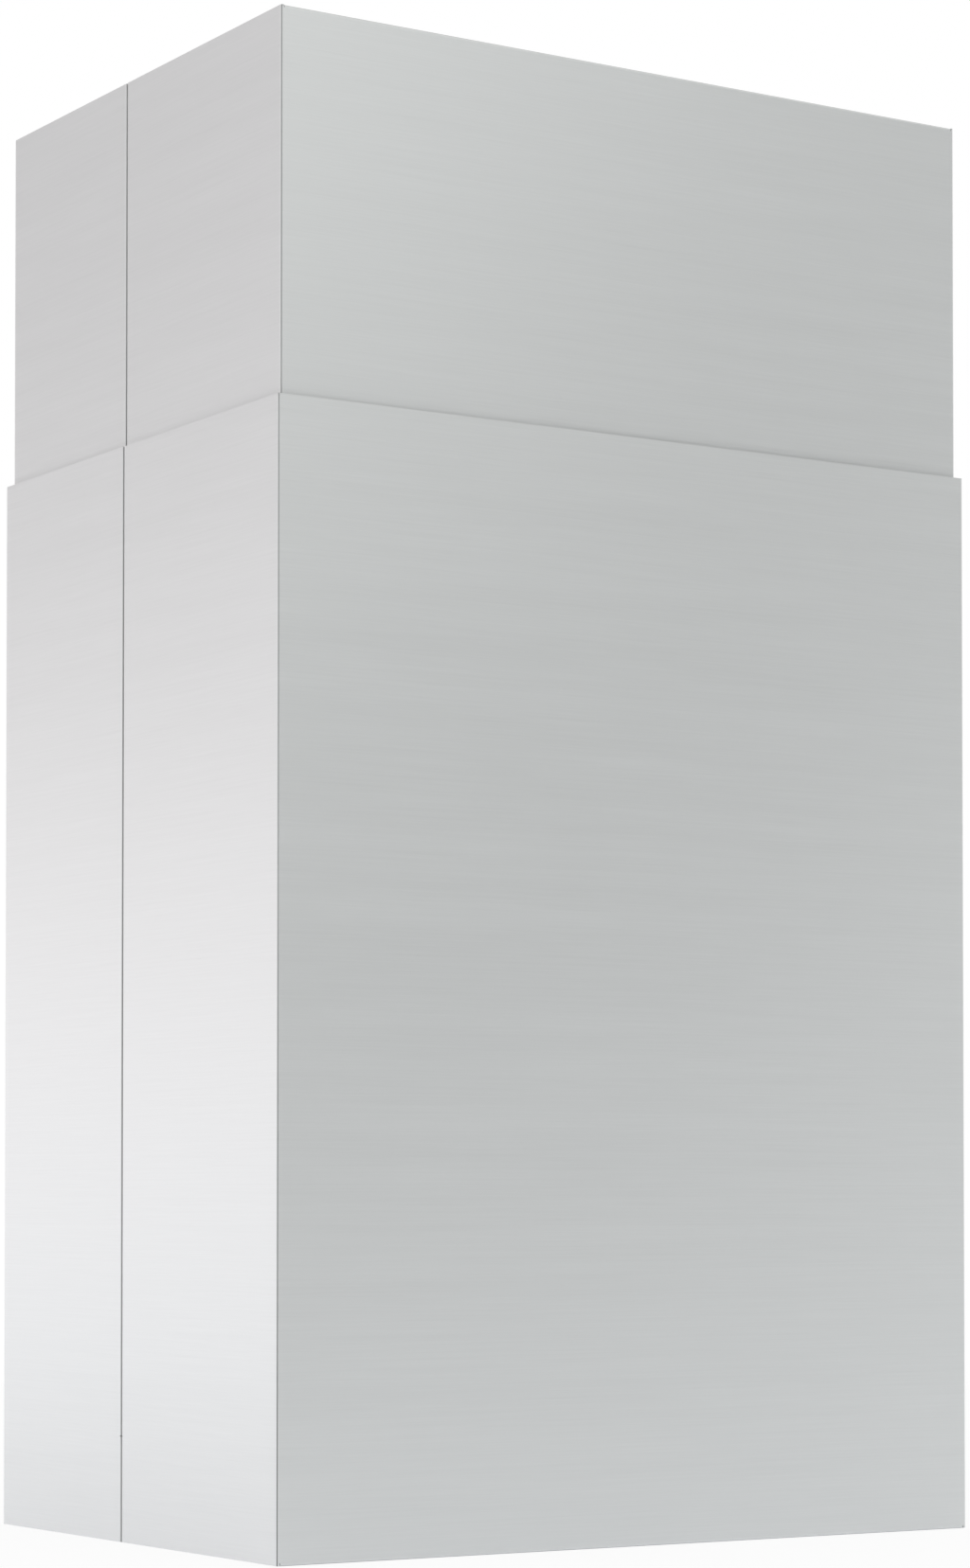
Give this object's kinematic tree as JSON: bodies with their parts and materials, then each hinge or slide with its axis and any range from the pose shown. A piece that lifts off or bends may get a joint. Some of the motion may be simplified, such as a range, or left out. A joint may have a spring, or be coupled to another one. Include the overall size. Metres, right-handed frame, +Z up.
{
  "type": "cooker hood chimney section",
  "caption": "Telescopic rectangular steel chimney cover for an island cooker hood, of folded half shells seamed on the narrow sides, with an upper section that slides inside the lower one.",
  "frame": {"origin": "middle of the lower section's outline, on the plane of its foot", "axes": "+X along the wide front wall, +Y from the front wall to the rear wall, +Z up to the ceiling"},
  "size_m": [0.345, 0.245, 0.615],
  "materials": {
    "shell_steel": "fine satin grain along the horizontal",
    "fastener_steel": "bright zinc",
    "pad_plastic": "slightly waxy moulded plastic"
  },
  "bodies": {
    "lower_section": {"lower_front_shell": "shell_steel", "lower_rear_shell": "shell_steel", "lower_left_bottom_screw": "fastener_steel", "lower_left_bottom_nut": "fastener_steel", "lower_left_top_screw": "fastener_steel", "lower_left_top_nut": "fastener_steel", "lower_right_bottom_screw": "fastener_steel", "lower_right_bottom_nut": "fastener_steel", "lower_right_top_screw": "fastener_steel", "lower_right_top_nut": "fastener_steel", "glide_pad_front_left": "pad_plastic", "glide_pad_front_right": "pad_plastic", "glide_pad_rear_left": "pad_plastic", "glide_pad_rear_right": "pad_plastic", "glide_pad_left_front": "pad_plastic", "glide_pad_left_rear": "pad_plastic", "glide_pad_right_front": "pad_plastic", "glide_pad_right_rear": "pad_plastic"},
    "upper_section": {"upper_front_shell": "shell_steel", "upper_rear_shell": "shell_steel", "upper_left_bottom_screw": "fastener_steel", "upper_left_bottom_nut": "fastener_steel", "upper_left_top_screw": "fastener_steel", "upper_left_top_nut": "fastener_steel", "upper_right_bottom_screw": "fastener_steel", "upper_right_bottom_nut": "fastener_steel", "upper_right_top_screw": "fastener_steel", "upper_right_top_nut": "fastener_steel"}
  },
  "joints": [
    {"name": "upper_slide", "type": "slide", "parent": "lower_section", "child": "upper_section", "axis": [0, 0, 1], "range_m": [-0.153, 0.145]}
  ]
}
